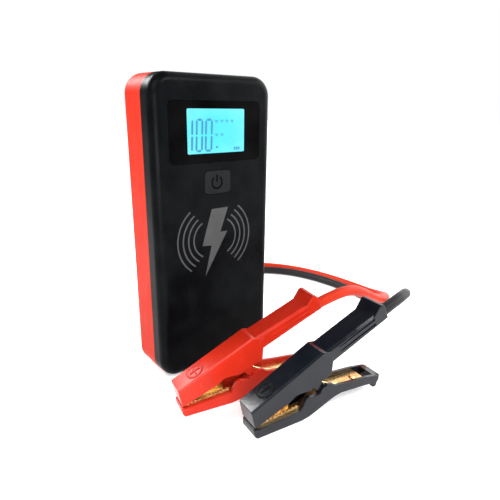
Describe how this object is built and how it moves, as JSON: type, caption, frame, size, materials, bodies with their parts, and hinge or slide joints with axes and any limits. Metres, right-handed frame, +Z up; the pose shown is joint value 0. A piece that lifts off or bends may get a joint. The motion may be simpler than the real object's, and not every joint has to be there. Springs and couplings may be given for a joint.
{
  "type": "jump starter pack",
  "caption": "Upright battery pack with a lit display, power button and charging pad, a plug-in lead set and sprung battery clamps that open.",
  "frame": {"origin": "on the ground, under the middle of the pack", "axes": "+X to the pack's right, +Y to its back, +Z up; the display and charging pad face -Y"},
  "size_m": [0.2338, 0.237, 0.1861],
  "materials": {
    "cover": "satin moulded",
    "shell": "satin moulded",
    "window": "glossy",
    "lcd": "backlit",
    "button": "satin",
    "inner_plastic": "moulded",
    "board": "solder mask",
    "copper": "bare copper",
    "ferrite": "matte sheet",
    "cell": "pouch foil",
    "steel": "plated",
    "zinc": "yellow zinc plate",
    "lens": "clear",
    "lamp": "phosphor",
    "socket": "moulded",
    "plug": "moulded",
    "boot": "soft",
    "brass": "bright",
    "red_silicone": "silicone",
    "black_silicone": "silicone",
    "red_clamp": "semi-gloss moulded",
    "black_clamp": "semi-gloss moulded"
  },
  "bodies": {
    "root": {"front_cover": "cover", "display_window": "window", "lcd_panel": "lcd", "button_switch": "inner_plastic", "main_board": "board", "charging_coil": "copper", "ferrite_sheet": "ferrite", "cell_1": "cell", "cell_2": "cell", "cell_3": "cell", "cell_tab_left": "copper", "cell_tab_right": "copper", "rear_shell": "shell", "screw_bottom_left": "steel", "screw_bottom_right": "steel", "screw_top_left": "steel", "screw_top_right": "steel", "usb_a_port": "steel", "usb_a_tongue": "inner_plastic", "usb_c_port": "steel", "port_board": "board", "torch_lens": "lens", "torch_led": "lamp", "jump_socket": "socket", "jump_plug": "plug", "plug_boot": "boot", "socket_pin_red": "brass", "socket_pin_black": "brass", "plug_sleeve_red": "brass", "plug_sleeve_black": "brass", "red_cable": "red_silicone", "black_cable": "black_silicone", "red_lower_shell": "red_clamp", "red_lower_contact": "brass", "red_rivet": "brass", "red_spring": "zinc", "black_lower_shell": "black_clamp", "black_lower_contact": "brass", "black_rivet": "brass", "black_spring": "zinc"},
    "power_button": {"power_button": "button"},
    "red_upper_jaw": {"red_upper_shell": "red_clamp", "red_upper_contact": "brass", "red_crimp": "brass", "red_cable_tail": "red_silicone", "red_pivot_pin": "steel"},
    "black_upper_jaw": {"black_upper_shell": "black_clamp", "black_upper_contact": "brass", "black_crimp": "brass", "black_cable_tail": "black_silicone", "black_pivot_pin": "steel"}
  },
  "joints": [
    {"name": "power_button_press", "type": "slide", "parent": "root", "child": "power_button", "axis": [0, 1, 0], "range_m": [0, 0.0008], "stiffness_N_per_m": 600, "springref_m": -0.0008},
    {"name": "red_jaw_open", "type": "hinge", "parent": "root", "child": "red_upper_jaw", "pos_m": [-0.01086, -0.0559, 0.0223], "axis": [0.212, 0.9773, 0], "range_deg": [0, 30], "stiffness_Nm_per_rad": 0.6, "springref_deg": -28.65, "deforming": ["red_cable", "red_spring"]},
    {"name": "black_jaw_open", "type": "hinge", "parent": "root", "child": "black_upper_jaw", "pos_m": [0.00956, -0.09229, 0.0223], "axis": [0.1449, 0.9895, 0], "range_deg": [0, 30], "stiffness_Nm_per_rad": 0.6, "springref_deg": -28.65, "deforming": ["black_cable", "black_spring"]}
  ]
}
